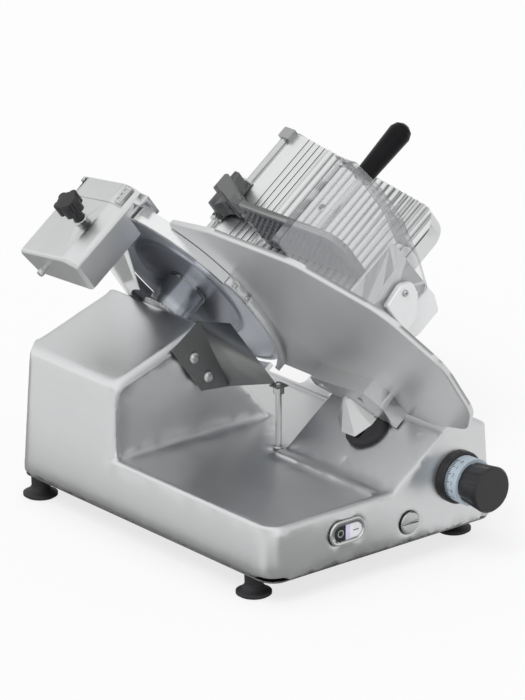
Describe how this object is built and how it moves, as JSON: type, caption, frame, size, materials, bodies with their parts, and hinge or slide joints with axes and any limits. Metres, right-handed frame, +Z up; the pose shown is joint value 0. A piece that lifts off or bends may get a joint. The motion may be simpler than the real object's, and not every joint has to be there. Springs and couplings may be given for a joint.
{
  "type": "electric gravity-feed meat slicer",
  "caption": "Countertop food slicer with a slanted round knife, tilted sliding table, food pusher, clear hand guard, thickness dial, gauge plate and lift-up sharpener on a cast base.",
  "frame": {"origin": "on the table top, under the middle of the whole machine with the carriage as shown", "axes": "+X to the operator's right, +Y away from the operator, +Z up"},
  "size_m": [0.508, 0.6755, 0.464],
  "materials": {
    "cast_aluminium": "polished casting",
    "satin_aluminium": "satin",
    "steel_sheet": "brushed sheet",
    "steel": "bright turned",
    "blade_steel": "polished",
    "motor_iron": "bare",
    "rubber": "matt",
    "belt_rubber": "matt",
    "black_plastic": "satin moulded",
    "white_plastic": "gloss moulded",
    "scale_plastic": "printed ring",
    "lamp_plastic": "translucent",
    "clear_plastic": "clear moulded",
    "abrasive": "bonded abrasive"
  },
  "bodies": {
    "frame": {"base_casting": "cast_aluminium", "bottom_cover": "steel_sheet", "foot_front_left": "rubber", "foot_front_right": "rubber", "foot_rear_left": "rubber", "foot_rear_right": "rubber", "foot_studs": "steel", "cable_gland": "black_plastic", "spindle_housing": "cast_aluminium", "blade_cover": "blade_steel", "cover_screw": "steel", "motor_stator": "motor_iron", "drive_bracket": "steel", "drive_belt": "belt_rubber", "ring_guard": "cast_aluminium", "slice_deflector": "steel_sheet", "deflector_screws": "steel", "support_rod": "steel", "rod_nut": "steel", "gauge_boot": "rubber", "gauge_guide": "steel", "switch_bezel": "steel", "switch_lamp": "lamp_plastic", "front_plug": "steel", "dial_ring": "black_plastic", "slide_rail": "steel", "sharpener_guide": "steel"},
    "blade": {"blade": "blade_steel", "blade_shaft": "steel", "blade_screws": "steel", "blade_pulley": "steel"},
    "motor": {"motor_rotor": "motor_iron"},
    "carriage": {"food_table": "cast_aluminium", "table_screws": "steel", "carriage_wall": "cast_aluminium", "wall_screw": "steel", "carriage_arm": "cast_aluminium", "slide_block": "cast_aluminium", "clear_guard": "clear_plastic", "pusher_rod": "steel", "rod_blocks": "cast_aluminium"},
    "pusher_slider": {"pusher_bushing": "steel"},
    "pusher_arm": {"pusher_arm": "cast_aluminium", "pusher_plate": "satin_aluminium", "pusher_stem": "steel", "pusher_grip": "black_plastic"},
    "gauge": {"gauge_plate": "satin_aluminium", "gauge_arm": "cast_aluminium", "gauge_screws": "steel"},
    "dial": {"dial_scale": "scale_plastic", "dial_knob": "black_plastic", "dial_spindle": "steel"},
    "start_button": {"start_button": "white_plastic"},
    "stop_button": {"stop_button": "black_plastic"},
    "sharpener": {"sharpener_cover": "cast_aluminium", "sharpener_latch": "steel", "sharpener_pin": "steel", "sharpener_stones": "abrasive"},
    "sharpener_knob": {"sharpener_knob": "black_plastic"}
  },
  "joints": [
    {"name": "blade_spin", "type": "hinge", "parent": "frame", "child": "blade", "pos_m": [-0.0365, 0.1793, 0.268], "axis": [0.8007, 0, 0.599], "continuous": true},
    {"name": "motor_spin", "type": "hinge", "parent": "frame", "child": "motor", "pos_m": [-0.15572, 0.1793, 0.08514], "axis": [0.8007, 0, 0.599], "continuous": true},
    {"name": "carriage_slide", "type": "slide", "parent": "frame", "child": "carriage", "axis": [0, -1, 0], "range_m": [-0.012, 0.268]},
    {"name": "pusher_slide", "type": "slide", "parent": "carriage", "child": "pusher_slider", "axis": [0.8007, 0, 0.599], "range_m": [-0.106, 0.075]},
    {"name": "pusher_swing", "type": "hinge", "parent": "pusher_slider", "child": "pusher_arm", "pos_m": [0.11272, 0.3128, 0.28222], "axis": [-0.8007, 0, -0.599], "range_deg": [0, 100]},
    {"name": "gauge_slide", "type": "slide", "parent": "frame", "child": "gauge", "axis": [-0.8007, 0, -0.599], "range_m": [0, 0.015]},
    {"name": "dial_turn", "type": "hinge", "parent": "frame", "child": "dial", "pos_m": [0.0465, -0.2367, 0.104], "axis": [0, 1, 0], "range_deg": [0, 271]},
    {"name": "start_press", "type": "slide", "parent": "frame", "child": "start_button", "axis": [0, 1, 0], "range_m": [0, 0.0025], "stiffness_N_per_m": 300},
    {"name": "stop_press", "type": "slide", "parent": "frame", "child": "stop_button", "axis": [0, 1, 0], "range_m": [0, 0.0025], "stiffness_N_per_m": 300},
    {"name": "sharpener_lift", "type": "slide", "parent": "frame", "child": "sharpener", "axis": [-0.599, 0, 0.8007], "range_m": [0, 0.016]},
    {"name": "sharpener_knob_turn", "type": "hinge", "parent": "sharpener", "child": "sharpener_knob", "pos_m": [-0.19157, 0.2133, 0.37679], "axis": [-0.599, 0, 0.8007], "continuous": true}
  ],
  "couplings": [
    {"joint": "motor_spin", "follows": "blade_spin", "ratio": 4},
    {"joint": "dial_turn", "follows": "gauge_slide", "rad_per_m": 314.16}
  ]
}
